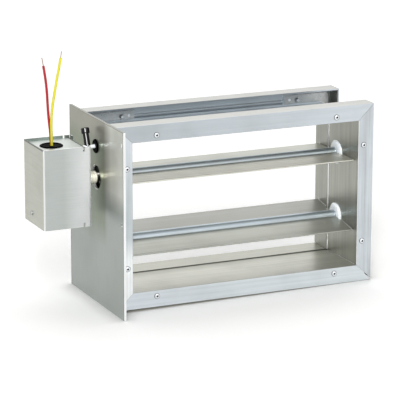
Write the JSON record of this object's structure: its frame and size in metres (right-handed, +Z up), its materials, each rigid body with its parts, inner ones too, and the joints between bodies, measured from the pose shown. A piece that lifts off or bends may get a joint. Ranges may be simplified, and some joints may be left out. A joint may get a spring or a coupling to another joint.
{
  "type": "zone damper",
  "caption": "Motorised parallel-blade zone damper: an aluminium frame with tilting blades on shafts, hung on a side plate with an actuator box and two upright leads.",
  "frame": {"origin": "middle of the frame's end, on the face of the mounting plate that seats on the duct wall", "axes": "+X along the blade shafts, from the plate into the duct, +Y along the airflow, +Z up"},
  "size_m": [0.3717, 0.1512, 0.2737],
  "materials": {
    "frame_aluminium": "satin extruded",
    "key_steel": "zinc plated, dull",
    "rivet_aluminium": "dull",
    "plate_steel": "brushed",
    "bushing_nylon": "smooth moulded",
    "spring_steel": "satin",
    "linkage_steel": "zinc plated",
    "screw_steel": "zinc plated",
    "blade_aluminium": "mill finish",
    "shaft_steel": "bright drawn",
    "grommet_rubber": "smooth",
    "knob_plastic": "glossy",
    "box_steel": "satin",
    "gearbox_casting": "as cast",
    "motor_steel": "zinc plated",
    "hub_steel": "machined",
    "red_insulation": "smooth",
    "yellow_insulation": "smooth",
    "tinned_wire": "tinned strands"
  },
  "bodies": {
    "frame": {"rail_top": "frame_aluminium", "rail_bottom": "frame_aluminium", "rail_left": "frame_aluminium", "rail_right": "frame_aluminium", "corner_keys_front": "key_steel", "corner_keys_rear": "key_steel", "frame_rivets_front": "rivet_aluminium", "frame_rivets_rear": "rivet_aluminium", "mounting_plate": "plate_steel", "bushing_upper_left": "bushing_nylon", "bushing_upper_right": "bushing_nylon", "bushing_lower_left": "bushing_nylon", "bushing_lower_right": "bushing_nylon", "cover_screws": "screw_steel", "gearbox_screws": "screw_steel", "pin_grommet": "grommet_rubber", "wire_grommet": "grommet_rubber", "actuator_cover": "box_steel", "actuator_base": "box_steel", "gearbox": "gearbox_casting", "drive_motor": "motor_steel", "red_lead": "red_insulation", "yellow_lead": "yellow_insulation", "red_lead_tip": "tinned_wire", "yellow_lead_tip": "tinned_wire"},
    "upper_blade_set": {"upper_blade": "blade_aluminium", "drive_shaft": "shaft_steel", "upper_crank": "linkage_steel", "upper_crank_pin": "linkage_steel", "upper_crank_screw": "screw_steel", "upper_retaining_ring": "spring_steel", "output_hub": "hub_steel", "hub_set_screw": "screw_steel"},
    "lower_blade_set": {"lower_blade": "blade_aluminium", "lower_shaft": "shaft_steel", "lower_crank": "linkage_steel", "lower_crank_pin": "linkage_steel", "lower_crank_screw": "screw_steel", "lower_retaining_ring": "spring_steel"},
    "tie_bar_link": {"tie_bar": "linkage_steel"},
    "lock": {"lock_pin": "shaft_steel", "lock_knob": "knob_plastic"}
  },
  "joints": [
    {"name": "upper_blade_turn", "type": "hinge", "parent": "frame", "child": "upper_blade_set", "pos_m": [0.15, 0, 0.0354], "axis": [1, 0, 0], "range_deg": [0, 80]},
    {"name": "lower_blade_turn", "type": "hinge", "parent": "frame", "child": "lower_blade_set", "pos_m": [0.15, 0, -0.0354], "axis": [1, 0, 0], "range_deg": [0, 80]},
    {"name": "tie_bar_swing", "type": "hinge", "parent": "upper_blade_set", "child": "tie_bar_link", "pos_m": [0.00875, 0.01532, 0.02254], "axis": [1, 0, 0], "range_deg": [-80, 0]},
    {"name": "lock_pin_slide", "type": "slide", "parent": "frame", "child": "lock", "axis": [-1, 0, 0], "range_m": [0, 0.0045]}
  ],
  "couplings": [
    {"joint": "lower_blade_turn", "follows": "upper_blade_turn", "ratio": 1},
    {"joint": "tie_bar_swing", "follows": "upper_blade_turn", "ratio": -1}
  ]
}
